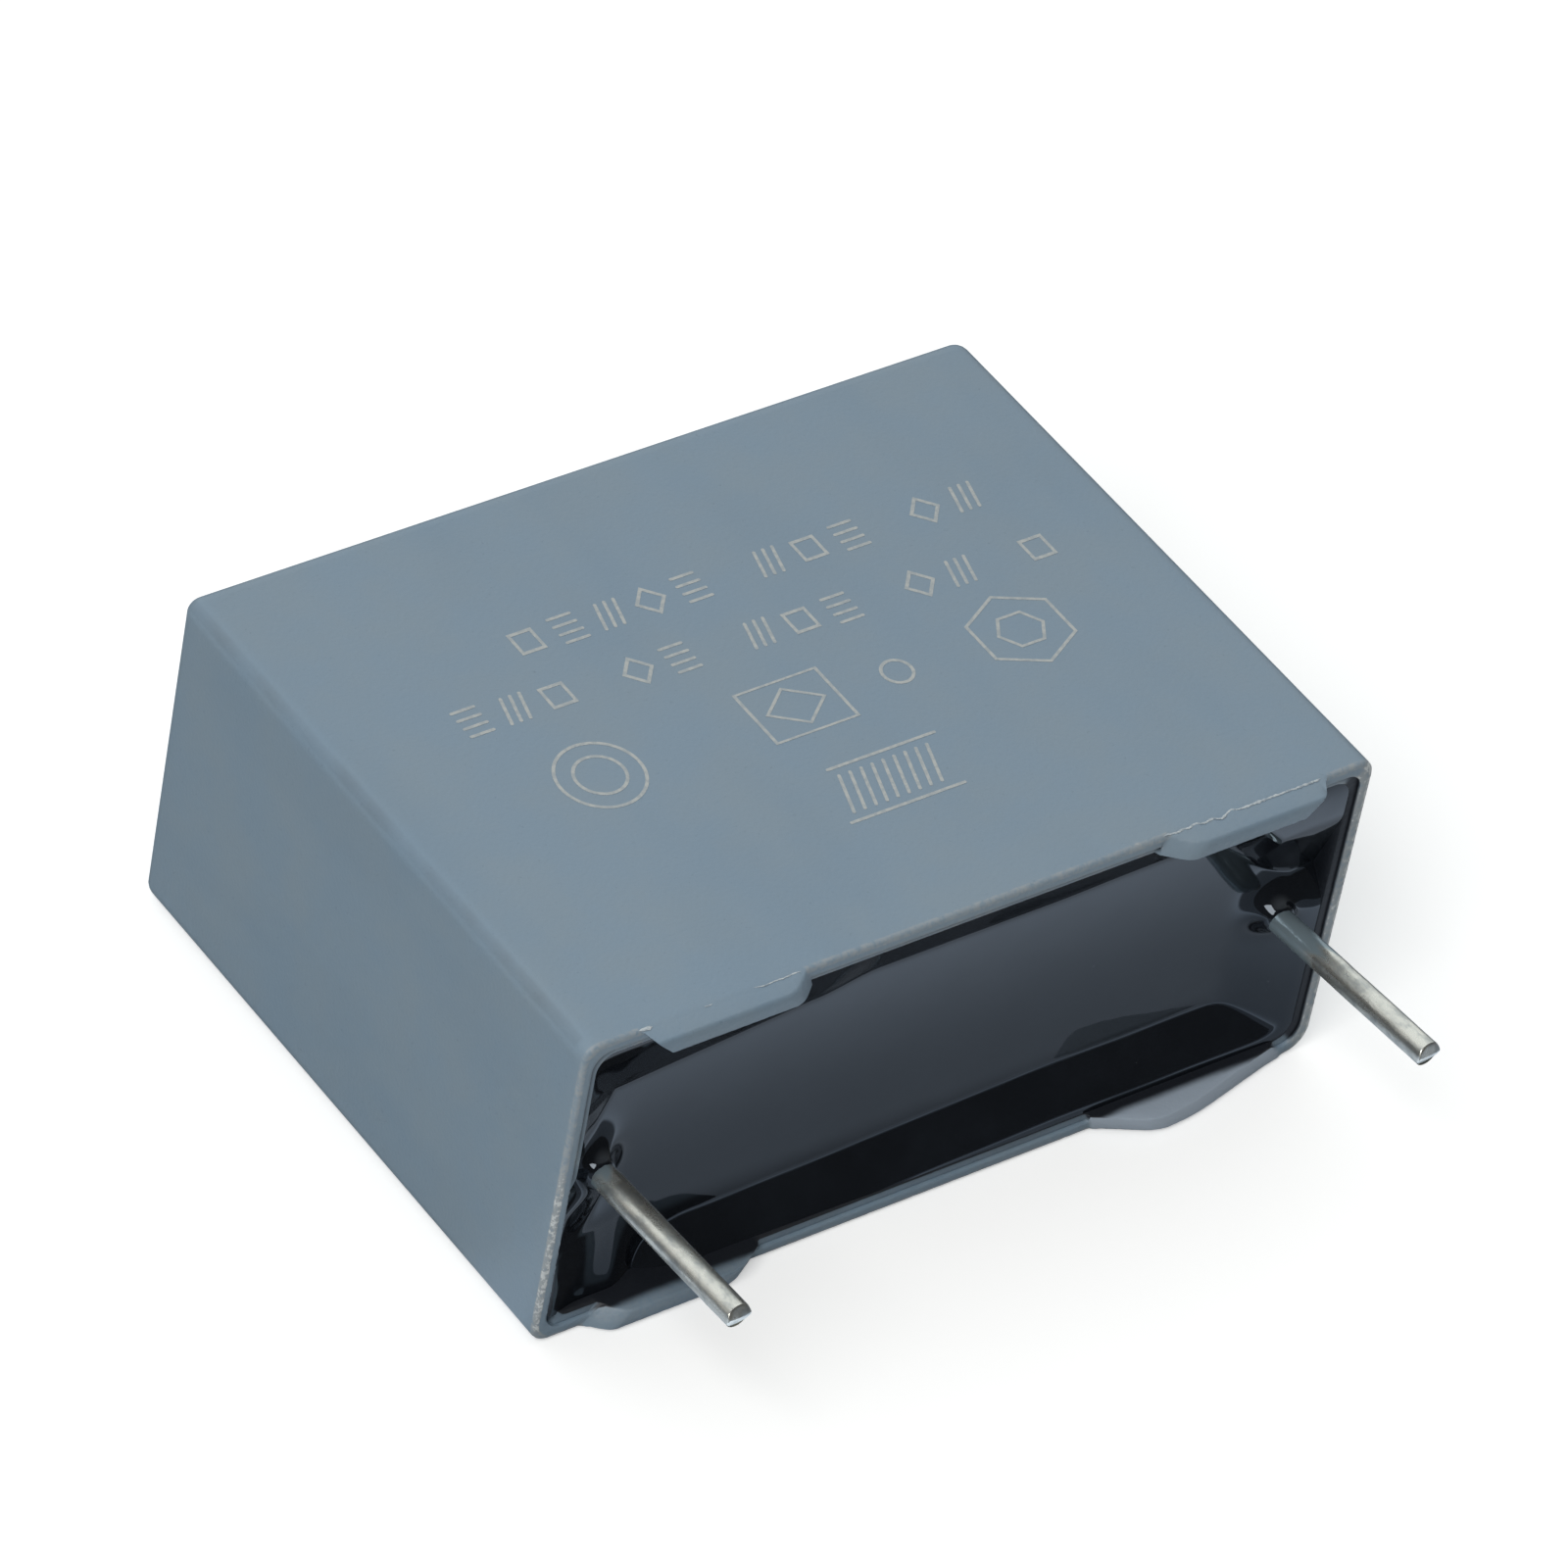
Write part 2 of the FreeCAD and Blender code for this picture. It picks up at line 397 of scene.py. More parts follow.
# Torn flash: the case's plastic, gone pale where it was stretched.
STRESSED_PLASTIC = PatchyFinish(
    "stressed_plastic", display_colour(146, 158, 166), display_colour(196, 203, 205),
    roughness=0.55, size=0.12, depth=0.02, coarse=0.65)
# Thin pale marking, slightly uneven where it took less well.
PRINT_INK = PatchyFinish(
    "print_ink", display_colour(160, 167, 169), display_colour(180, 183, 180),
    roughness=0.5, size=0.22, depth=0.006, coarse=0.7, uneven=0.2, span=(0.38, 0.62))
# Edge and face of the wound metallised film.
WOUND_FILM = PatchyFinish(
    "wound_film", display_colour(120, 124, 130), display_colour(188, 191, 196),
    roughness=0.3, size=0.3, depth=0.01, detail=2, uneven=0.2, metallic=0.35,
    stretch=(0.05, 1, 1))
# Rough metal, sprayed on the ends of the winding.
SPRAYED_ZINC = PatchyFinish(
    "sprayed_zinc", display_colour(112, 112, 110), display_colour(176, 176, 172),
    roughness=0.6, size=0.2, depth=0.06, detail=4, coarse=0.7, metallic=0.9)


def finished_piece(name: str, mesh: BMesh, material: Material,
                   sharp_degrees: float) -> Object:
    """Turns a millimetre mesh into a piece of the object, in metres.

    Args:
        name: The piece's name.
        mesh: Its mesh, which is freed.
        material: Its finish.
        sharp_degrees: Edges that turn more than this stay sharp.

    Returns:
        The piece, riding on the one body.
    """
    bmesh.ops.recalc_face_normals(mesh, faces=mesh.faces)
    bmesh.ops.scale(mesh, vec=(MM, MM, MM), verts=mesh.verts)
    for face in mesh.faces:
        face.smooth = True
    data = bpy.data.meshes.new(name)
    mesh.to_mesh(data)
    mesh.free()
    data.set_sharp_from_angle(angle=math.radians(sharp_degrees))
    data.materials.append(material)
    piece = bpy.data.objects.new(name, data)
    bpy.context.scene.collection.objects.link(piece)
    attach(piece, BODY)
    log.info("%s: %d faces", name, len(data.polygons))
    return piece


def grown_loop(mesh: BMesh, loop: list[BMEdge], target: Callable[[BMVert], Vector]) -> list[BMEdge]:
    """Extrudes a closed loop of edges and moves the new loop into place.

    Args:
        mesh: The mesh.
        loop: The edges to extrude.
        target: Where each new vertex goes.

    Returns:
        The new loop's edges.
    """
    made = bmesh.ops.extrude_edge_only(mesh, edges=loop)["geom"]
    for vert in made:
        if isinstance(vert, BMVert):
            vert.co = target(vert)
    return [edge for edge in made if isinstance(edge, BMEdge)]


def edges_of(verts: list[BMVert]) -> list[BMEdge]:
    """The edges that meet at any of these points."""
    return list({edge for vert in verts for edge in vert.link_edges})


@dataclass
class BodyFrame:
    """Where the case stands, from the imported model, in millimetres."""

    body_h: float = 19.45        # from the rim to the closed end

    def __post_init__(self) -> None:
        """Reads the case's box."""
        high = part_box("case")[1]
        self.half_w = high.x / MM
        self.thickness = high.z / MM
        self.mid_z = self.thickness / 2
        self.back_y = high.y / MM
        self.rim_y = self.back_y - self.body_h


@dataclass(frozen=True)
class Foot:
    """One stand-off foot, measured from the nearer side of the body, in millimetres."""

    side: int
    upper: bool
    margin: float
    length: float
    rise: float
    outer_slant: float
    inner_slant: float
    corner_r: float = 0.22

    def height(self, x: float, half_w: float) -> float:
        """How far the foot stands out of the rim at one place along the wall.

        Args:
            x: The place along the wall.
            half_w: Half of the body's width.

        Returns:
            The height, or 0 beside the foot.
        """
        reach = half_w - self.side * x - self.margin
        outer = reach / self.outer_slant * self.rise
        inner = (self.length - reach) / self.inner_slant * self.rise
        top = soft_min(soft_min(outer, self.rise, self.corner_r), inner, self.corner_r)
        return max(top, 0.0)


@dataclass
class MouldedCase:
    """The moulded box: open at the side with the wires, with a rebated rim and four feet."""

    body: BodyFrame
    wall: float = 0.6
    end_wall: float = 0.8
    draft: float = 0.4           # degrees
    edge_r: float = 0.5
    low_right_r: float = 0.8     # the one corner that is rounder than the others
    corner_r: float = 0.6
    least_r: float = 0.03
    rim_r: float = 0.13
    step_w: float = 0.25
    step_d: float = 0.12
    foot_inset: float = 0.035
    foot_edge_r: float = 0.1
    foot_start: float = 0.06     # over this height the rim turns into a foot
    ink_room: float = 0.012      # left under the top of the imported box, for the print
    spacing: float = 0.08        # of the points along the outline
    rows: int = 14               # loops along the sides
    cap_w: float = 0.4           # from the flat of the closed end to its last inner loop
    cavity_rows: tuple[float, ...] = (0.5, 0.7, 1.0, 1.5, 3.0)   # depths of the first loops
    ledge: int = 10              # the first of the rim's loops that lies in the rebate
    ledge_sink: float = 0.3      # how far the ledge goes down where resin covers it
    fine: float = 0.010          # unevenness of the rim
    fine_in_step: float = 0.004
    torn: float = 0.022          # more unevenness, low on the left
    torn_zone: Fade = Fade(7, 5.4)       # over z
    corner_shade: float = 0.32   # painted shade on the edge between the printed face and the left side
    cover: Fade = Fade(6, 4.6)           # over z: where resin covers the left rebate
    low_ledge_dark: tuple[float, ...] = (0.1, 0.3, 0.5, 1.0)       # darkening of the four innermost loops, along the lower wall
    right_ledge_dark: tuple[float, ...] = (0.35, 0.9, 0.9, 1.0)
    # painted shadow in the rebate's step, for the four innermost loops
    step_shadow: tuple[float, ...] = (0.0, 1.0, 0.1, 0.5)
    feet: tuple[Foot, ...] = (
        Foot(-1, True, 1.75, 5.2, 0.57, 0.06, 0.7),
        Foot(1, True, 1.65, 5.3, 0.63, 0.4, 0.75),
        Foot(-1, False, 1.5, 5.5, 0.58, 0.6, 1.0),
        Foot(1, False, 0.75, 6.7, 0.95, 3.9, 1.7),
    )

    def _outline(self, mesh: BMesh) -> list[BMEdge]:
        """Makes the rounded outline and notes where each of its points sits.

        Args:
            mesh: An empty mesh.

        Returns:
            The outline's edges.
        """
        upright = Matrix.Rotation(math.radians(-90), 4, "X")
        size = Matrix.Diagonal((self.half_w, 1, self.half_t, 1))
        bmesh.ops.create_grid(mesh, x_segments=1, y_segments=1, size=1, matrix=size @ upright)
        self.seat = mesh.verts.layers.float_vector.new("seat")
        self.out = mesh.verts.layers.float_vector.new("out")
        # the layers below carry wear with painted highlights and painted light, resin smears with
        # painted shade, and a painted highlight on the lower right foot
        self.wear_and_painted_light = mesh.verts.layers.float.new("wear_and_painted_light")
        self.soil_and_shade = mesh.verts.layers.float.new("soil_and_shade")
        self.painted_highlight = mesh.verts.layers.float.new("painted_highlight")
        for corner in list(mesh.verts):
            low_right = corner.co.x > 0 and corner.co.z < 0
            radius = self.low_right_r if low_right else self.edge_r
            bmesh.ops.bevel(mesh, geom=[corner], offset=radius, offset_type="OFFSET",
                            affect="VERTICES", segments=9, profile=0.5, material=-1)
        for edge in list(mesh.edges):
            cuts = int(edge.calc_length() / self.spacing)
            if cuts > 10:
                bmesh.ops.subdivide_edges(mesh, edges=[edge], cuts=cuts)
        for vert in mesh.verts:
            self._note_seat(vert)
        return list(mesh.edges)

    def _note_seat(self, vert: BMVert) -> None:
        """Stores a point's share of the outline, its corner radius and its outward way.

        Args:
            vert: A point of the outline.
        """
        x, z = vert.co.x, vert.co.z
        across = (x / self.half_w + 1) / 2
        low_r = self.edge_r + (self.low_right_r - self.edge_r) * across
        radius = self.edge_r if z > 0 else low_r
        if x > self.half_w - self.low_right_r and z < 0:
            radius = self.low_right_r
        core_x, core_z = self.half_w - radius, self.half_t - radius
        near = Vector((min(max(x, -core_x), core_x), 0, min(max(z, -core_z), core_z)))
        away = (vert.co - near).normalized()
        vert[self.seat] = (near.x / core_x, near.z / core_z, radius)
        vert[self.out] = away

    def _flat_point(self, vert: BMVert, inset: float, radius: float) -> Pair:
        """Where a point of the outline lies on a smaller one with another corner radius.

        Args:
            vert: The point.
            inset: How much smaller the outline is on each side.
            radius: Its corner radius.

        Returns:
            Its place along the width and its height over the bench.
        """
        seat, out = vert[self.seat], vert[self.out]
        x = seat.x * (self.half_w - inset - radius) + out.x * radius
        z = seat.y * (self.half_t - inset - radius) + out.z * radius
        return x, self.half_t + z

    def _outer_point(self, vert: BMVert, inset: float, y: float) -> Vector:
        """A point on the outside of the case.

        Args:
            vert: A point of the outline.
            inset: How far it lies inside the outline.
            y: Its place along the depth.

        Returns:
            The point.
        """
        x, z = self._flat_point(vert, inset, max(vert[self.seat].z - inset, self.least_r))
        out = vert[self.out]
        # painted shade along the rounded edge between the printed face and the left side
        shade = self.corner_shade * smooth_step(0, 0.6, -out.x) * smooth_step(0, 0.6, out.z)
        vert[self.soil_and_shade] = shade
        return Vector((x, y, z))

    def _foot_height(self, vert: BMVert) -> float:
        """How far a foot stands out of the rim at one point.

        Args:
            vert: A point of the outline.

        Returns:
            The height of the foot there, or 0.
        """
        lift = vert[self.out].z
        if abs(lift) < 0.99:
            return 0.0
        x = vert[self.seat].x * (self.half_w - vert[self.seat].z)
        return max(foot.height(x, self.half_w) for foot in self.feet if foot.upper == (lift > 0))

    def _rim_profile(self) -> list[Pair]:
        """The plain rim, from the outside in.

        Returns:
            Inset and depth of each loop across it.
        """
        radius, edge = self.rim_r, self.wall - self.step_w
        arc = [(radius * (1 - math.cos(a)), radius * (1 - math.sin(a)))
               for a in (math.radians(step * 22.5) for step in range(5))]
        return [(0, radius + 0.05), *arc, (radius + 0.03, 0), (0.25, 0), (edge - 0.02, 0),
                (edge, 0.02), (edge, self.step_d), (self.wall - 0.02, self.step_d),
                (self.wall, self.step_d + 0.02)]

    def _foot_profile(self, height: float) -> list[Pair]:
        """Inset and depth of each loop across a foot this high, as many as the rim has."""
        inset, edge = self.foot_inset, min(self.foot_edge_r, height / 2)
        return [(0, self.rim_r + 0.05), (0, 0.12), (inset * 0.3, 0.04),
                (inset * 0.8, -min(0.03, height / 3)), (inset, edge - height),
                (inset + 0.3 * edge, 0.3 * edge - height), (inset + edge, -height),
                (0.3, -height), (self.wall - 0.05, -height), (self.wall - 0.015, 0.015 - height),
                (self.wall, 0.05 - height), (self.wall, -height / 2), (self.wall, 0)]

    def _paint_rim(self, vert: BMVert, step: int, share: float, covered: float, torn: float,
                   level: float, point: Vector) -> None:
        """Paints resin smears and painted shade on the rim, its rubbed edges with painted
        highlights, and painted light on the lower feet.

        Args:
            vert: The point.
            step: Which loop it is on.
            share: How much of a foot there is here.
            covered: How far resin covers the rebate here.
            torn: How torn the rim is here.
            level: Its place along the depth, without unevenness.
            point: Where it lies, with unevenness.
        """
        out = vert[self.out]
        low, right = FACING.at(-out.z), FACING.at(out.x)
        outer, inner = 0 < step < 6, step >= self.ledge - 1
        row = max(step - self.ledge + 1, 0)
        # darker towards the resin: on the lower feet near the rim and on the ledges of the lower
        # and right walls
        on_foot = smooth_step(0.5, 0.0, self.body.rim_y - level) * low * inner
        on_ledge = max(self.low_ledge_dark[row] * low, self.right_ledge_dark[row] * right * inner)
        # painted shadow in the rebate's step, away from the lower and right walls and where resin
        # does not cover it
        in_step = self.step_shadow[row] * (1 - max(low, right)) * (1 - covered)
        vert[self.soil_and_shade] = on_ledge + in_step + (on_foot - on_ledge - in_step) * share
        # pale lines on the outer edges and on the rebate's edges of the upper wall: wear, also
        # standing in as painted highlights
        lip = 0.9 if step in (8, 9, 11, 12) and out.z > 0.5 else 0.3
        rub = (1.0 - 0.75 * share) if outer else lip * (1 - share)
        wear_and_painted_light = rub * (0.45 + 0.55 * abs(noise.noise(point * 3.1))) + 0.5 * torn * outer
        # painted light: the inner faces of the lower feet are made paler, as if lit; the right rim
        # is made paler too
        wear_and_painted_light += 0.7 * right * (0 < step < self.ledge) + 0.3 * low * share * (step > 6)
        vert[self.wear_and_painted_light] = wear_and_painted_light
        # painted highlight on the inner face of the lower right foot
        vert[self.painted_highlight] = low * share * (step > 5) * (point.x > 0)

    def _rim_point(self, vert: BMVert, step: int) -> Vector:
        """A point of one loop across the rim, with its wear, smears and painted light.

        Args:
            vert: A point of the outline.
            step: Which loop it is on, from the outside in.

        Returns:
            The point.
        """
        height = self._foot_height(vert)
        share = smooth_step(0, self.foot_start, height)
        plain, foot = self._rim_profile()[step], self._foot_profile(height)[step]
        inset = plain[0] + (foot[0] - plain[0]) * share
        depth = plain[1] + (foot[1] - plain[1]) * share
        outline_r = vert[self.seat].z
        radius = outline_r + (self.corner_r - outline_r) * min(inset / self.wall, 1)
        x, z = self._flat_point(vert, inset, radius)
        point = Vector((x, self.body.rim_y + depth, z))
        rough = noise.noise(point * 5.5) * 0.6 + noise.noise(point * 17) * 0.4
        left = -vert[self.out].x
        torn = smooth_step(0.5, 1, left) * self.torn_zone.at(z)
        covered = self.cover.at(z) * FACING.at(left)
        in_step = step >= self.ledge
        amount = self.fine + self.torn * torn if 0 < step and not in_step else self.fine_in_step
        if in_step:
            point.y += self.ledge_sink * covered * (1 - share)
        level = point.y
        point.y += abs(rough) * amount * 2
        self._paint_rim(vert, step, share, covered, torn, level, point)
        inward = amount * noise.noise(point * 9 + Vector((7, 3, 1)))
        x, z = self._flat_point(vert, inset + abs(inward), radius)
        return Vector((x, point.y, z))

    def _cavity_point(self, vert: BMVert, depth: float, extra: float, radius: float) -> Vector:
        """A point on the inside of the case.

        Args:
            vert: A point of the outline.
            depth: Its depth under the rim.
            extra: How far it stands off the drafted wall.
            radius: The corner radius there.

        Returns:
            The point.
        """
        inset = self.wall + depth * math.tan(math.radians(self.draft)) + extra
        x, z = self._flat_point(vert, inset, radius)
        vert[self.wear_and_painted_light] = 0
        return Vector((x, self.body.rim_y + depth, z))

    def build(self, material: Material) -> Object:
        """Makes the case.

        Args:
            material: The case's finish.

        Returns:
            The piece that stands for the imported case.
        """
        self.half_w = self.body.half_w
        self.half_t = (self.body.thickness - self.ink_room) / 2
        mesh = bmesh.new()
        loop = self._outline(mesh)
        back = self.body.back_y
        for vert in mesh.verts:
            vert.co = self._outer_point(vert, self.edge_r + self.cap_w, back)
        loop = grown_loop(mesh, loop, lambda v: self._outer_point(v, self.edge_r, back))
        for turn in (math.radians(15 * step) for step in range(1, 7)):
            inset = self.edge_r * (1 - math.sin(turn))
            y = back - self.edge_r * (1 - math.cos(turn))
            loop = grown_loop(mesh, loop, lambda v: self._outer_point(v, inset, y))
        start, end = back - self.edge_r, self.body.rim_y + 0.6
        for row in range(self.rows + 1):
            y = start - 0.04 + (end - start) * row / self.rows
            loop = grown_loop(mesh, loop, lambda v: self._outer_point(v, 0, y))
        for step in range(len(self._rim_profile())):
            loop = grown_loop(mesh, loop, lambda v: self._rim_point(v, step))
        floor = self.body.body_h - self.end_wall
        for depth in (*self.cavity_rows, floor - self.corner_r):
            loop = grown_loop(mesh, loop,
                              lambda v: self._cavity_point(v, depth, 0, self.corner_r))
        for turn in (math.radians(30 * step) for step in (1, 2, 3)):
            extra = self.corner_r * (1 - math.cos(turn))
            depth = floor - self.corner_r * (1 - math.sin(turn))
            radius = max(self.corner_r - extra, self.least_r)
            loop = grown_loop(mesh, loop, lambda v: self._cavity_point(v, depth, extra, radius))
        bmesh.ops.edgeloop_fill(mesh, edges=loop)
        piece = finished_piece("moulded_case", mesh, material, sharp_degrees=50)
        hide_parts("case")
        return piece


@dataclass(frozen=True)
class Bank:
    """Resin drawn up along one wall: how steep, how far from the wall, how softly it starts."""

    slope: float
    width: float
    blend: float = 0.05

    def rise(self, gap: float, wider: float = 0.0) -> float:
        """How far the resin has climbed at a distance from the wall, with its width increased."""
        share = (self.width + wider - gap) / self.blend
        return self.slope * self.blend * (share if share > 30 else math.log1p(math.exp(share)))


@dataclass
class PottingResin:
    """The resin that fills the case, dished at its open face, where it climbs walls and wires."""

    body: BodyFrame
    case: MouldedCase
    wire_x: Pair
    wire_r: float
    flat_depth: float = 1.0
    edge_depth: float = 0.03     # where the resin covers the rebate of the rim
    ledge_depth: float = 0.14    # where it stays below the rebate
    cell: float = 0.058
    low: Bank = Bank(0.62, 1.17, 0.02)
    low_widens: Fade = Fade(-7, 5, 0.32)         # over x
    low_thins_x: float = -7.4    # left of this the lower bank thins out
    low_thins: float = 0.216
    top: Bank = Bank(0.40, 1.62)
    top_widens: Fade = Fade(-2.5, -4.7, 0.3)     # over x
    top_narrows: Fade = Fade(3, 6.5, 0.08)
    top_fans_x: float = -4.7     # left of this the upper bank fans out
    top_fans: float = 0.097
    top_lip: float = 0.85        # the most that the upper bank climbs
    left: Bank = Bank(0.485, 1.75, 0.05)
    left_fade: Fade = Fade(5.6, 4.4)             # over z
    left_top: Bank = Bank(0.40, 1.15)
    left_top_widens: Fade = Fade(6.6, 8, 0.4)
    left_top_thins: Fade = Fade(6.4, 4.6, 1.4)
    fill_reach: Pair = (2.6, 2.0)  # of the swell in the lower left corner
    fill_side: Fade = Fade(3.6, 2.0)
    fill_low: Fade = Fade(3.6, 2.2)
    fill_rise: float = 0.6
    right: Bank = Bank(0.42, 2.1, 0.2)
    right_fade: Fade = Fade(7.0, 5.4)            # over z
    right_top: Bank = Bank(1.0, 0.0)
    right_top_fade: Fade = Fade(8.5, 9.7)        # over x
    right_top_width: float = 1.6
    right_top_grows: Bank = Bank(0.98, 0.0, 0.3)
    right_top_x: float = 8.9     # left of this the upper right bank grows wider
    right_top_most: float = 2.55
    right_lip: float = 0.86
    right_steepest: float = 0.6
    lip_height: float = 8.6      # z where the resin has climbed to the rebate in the far corner
    wire_rise: float = 0.765
    wire_reach: Pair = (0.33, 0.252)   # of the left and the right wire's collar
    wall_blend: float = 5        # how sharply the banks of two walls meet
    wire_blend: float = 1.6      # how sharply the collars rise from them
    edge_round: float = 0.1      # of the climb, where it meets its highest level
    sunk: float = 0.015          # how far the edge is buried in the walls
    draw_reach: float = 1.2      # over which the edge is drawn out over the rebate
    skirt: float = 0.22          # height of the first loop below the edge
    element_depth: float = 1.95  # from the rim to the room that holds the element
    room_gap: float = 0.1        # what the room is larger than the element by
    room_r: float = 0.5

    def __post_init__(self) -> None:
        """Works out half of the width and of the height of the open face."""
        self.half_x = self.body.half_w - self.case.wall + self.sunk
        self.half_z = self.body.mid_z - self.case.wall + self.sunk

    def _long_climbs(self, low_gap: float, top_gap: float, x: float) -> tuple[float, ...]:
        """The climbs along the lower and the upper wall.

        Args:
            low_gap: The distance from the lower wall.
            top_gap: The distance from the upper wall.
            x: Place along the width.

        Returns:
            The two climbs.
        """
        wander = 0.05 * noise.noise(Vector((x * 0.35, 2.0, 0)))
        wider = self.low_widens.at(x) - self.low_thins * max(self.low_thins_x - x, 0) ** 2
        low = self.low.rise(low_gap, wider + wander)
        wider = self.top_widens.at(x) + self.top_fans * max(self.top_fans_x - x, 0)
        wider -= self.top_narrows.at(x)
        softer = min(1, self.top_lip / (self.top.slope * (self.top.width + wider)))
        return low, self.top.rise(top_gap, wider) * softer

    def _left_climbs(self, side_gap: float, low_gap: float, z: float) -> tuple[float, ...]:
        """The climbs at the left end: low, high and in the lower corner.

        Args:
            side_gap: The distance from the left wall.
            low_gap: The distance from the lower wall.
            z: Height over the bench.

        Returns:
            The three climbs.
        """
        wander = 0.15 * noise.noise(Vector((0, 5.0, z * 0.5)))
        side = self.left.rise(side_gap, wander) * self.left_fade.at(z)
        wider = self.left_top_widens.at(z) - self.left_top_thins.at(z)
        upper = self.left_top.rise(side_gap, wider)
        reach_x, reach_z = self.fill_reach
        inner = math.hypot(reach_x / max(side_gap, 0.05), reach_z / max(low_gap, 0.05))
        fill = self.fill_rise * max(1 - 1 / inner, 0)
        return side, upper, fill * self.fill_side.at(side_gap) * self.fill_low.at(low_gap)

    def _right_climbs(self, side_gap: float, top_gap: float, x: float,
                      z: float) -> tuple[float, ...]:
        """The climbs at the right end: low and in the upper corner.

        Args:
            side_gap: The distance from the right wall.
            top_gap: The distance from the upper wall.
            x: Place along the width.
            z: Height over the bench.

        Returns:
            The two climbs.
        """
        side = self.right.rise(side_gap) * self.right_fade.at(z)
        grown = min(self.right_top_grows.rise(self.right_top_x - x), self.right_top_most)
        wider = self.right_top_width + grown
        length = max(self.lip_height - self.body.thickness + self.case.wall + wider, 0.1)
        slope = min(self.right_lip / length, self.right_steepest)
        return side, self.right_top.rise(top_gap, wider) * slope * self.right_top_fade.at(x)

    def climb(self, x: float, z: float) -> float:
        """How far the resin stands above its flat.

        Args:
            x: Place along the width.
            z: Height over the bench.

        Returns:
            The climb towards the rim.
        """
        low_gap = z - self.case.wall
        top_gap = self.body.thickness - self.case.wall - z
        side_gap = self.body.half_w - self.case.wall - abs(x)
        heights = self._long_climbs(low_gap, top_gap, x)
        if x < 0:
            heights += self._left_climbs(side_gap, low_gap, z)
        else:
            heights += self._right_climbs(side_gap, top_gap, x, z)
        walls = sum(height ** self.wall_blend for height in heights) ** (1 / self.wall_blend)
        wires = 0.0
        for wire_x, reach in zip(self.wire_x, self.wire_reach):
            gap = max(math.hypot(x - wire_x, z - self.body.mid_z) - self.wire_r, 0)
            wires += self.wire_rise * math.exp(-gap / reach)
        blend = self.wire_blend
        total = (walls ** blend + wires ** blend) ** (1 / blend)
        covered = self.case.cover.at(z) * smooth_step(1.2, 0.4, side_gap) if x < 0 else 0.0
        most = self.flat_depth - self.ledge_depth
        most += covered * (self.ledge_depth - self.edge_depth)
        return soft_min(total, most, self.edge_round)

    def _rounded(self, x: float, z: float) -> Pair:
        """Moves a point of the square grid inside the rounded corners.

        Args:
            x: Its place along the width.
            z: Its height over the middle.

        Returns:
            Its new place and height.
        """
        core_x, core_z = self.half_x - self.case.corner_r, self.half_z - self.case.corner_r
        over_x, over_z = abs(x) - core_x, abs(z) - core_z
        if over_x <= 0 or over_z <= 0:
            return x, z
        share = max(over_x, over_z) / math.hypot(over_x, over_z)
        return math.copysign(core_x + over_x * share, x), math.copysign(core_z + over_z * share, z)

    def _skirt_point(self, vert: BMVert, depth: float, extra: float) -> Vector:
        """A point of the resin's sides, on the tapered wall of the case.

        Args:
            vert: A point of the edge.
            depth: Its depth under the rim.
            extra: How far it stands off the wall.

        Returns:
            The point.
        """
        inset = math.tan(math.radians(self.case.draft)) * depth + extra
        home = vert[self.home]
        return Vector((home.x * (1 - inset / self.half_x), self.body.rim_y + depth,
                       self.body.mid_z + home.z * (1 - inset / self.half_z)))

    def build(self, material: Material) -> Object:
        """Makes the resin.

        Args:
            material: The resin's finish.

        Returns:
            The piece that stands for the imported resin.
        """
        mesh = bmesh.new()
        self.home = mesh.verts.layers.float_vector.new("home")
        size = Matrix.Diagonal((self.half_x, 1, self.half_z, 1))
        bmesh.ops.create_grid(mesh, x_segments=int(2 * self.half_x / self.cell),
                              y_segments=int(2 * self.half_z / self.cell), size=1,
                              matrix=size @ UPRIGHT)
        border = [edge for edge in mesh.edges if edge.is_boundary]
        for vert in mesh.verts:
            x, z = self._rounded(vert.co.x, vert.co.z)
            vert[self.home] = (x, 0, z)
            height = self.body.mid_z + z
            near_left = 1 - smooth_step(0, self.draw_reach, self.half_x + x)
            x -= self.case.step_w * self.case.cover.at(height) * near_left
            depth = self.flat_depth - self.climb(x, height)
            vert.co = Vector((x, self.body.rim_y + depth, height))
        rim_y, floor = self.body.rim_y, self.body.body_h - self.case.end_wall
        border = grown_loop(mesh, border,
                            lambda v: self._skirt_point(v, v.co.y - rim_y + self.skirt, 0))
        for depth, extra in ((1.9, 0), (floor - 0.5, 0), (floor, 0.4)):
            border = grown_loop(mesh, border, lambda v: self._skirt_point(v, depth, extra))
        bmesh.ops.edgeloop_fill(mesh, edges=border)
        bmesh.ops.recalc_face_normals(mesh, faces=mesh.faces)
        self._hollow(mesh)
        piece = finished_piece("poured_resin", mesh, material, sharp_degrees=60)
        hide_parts("potting_resin")
        return piece

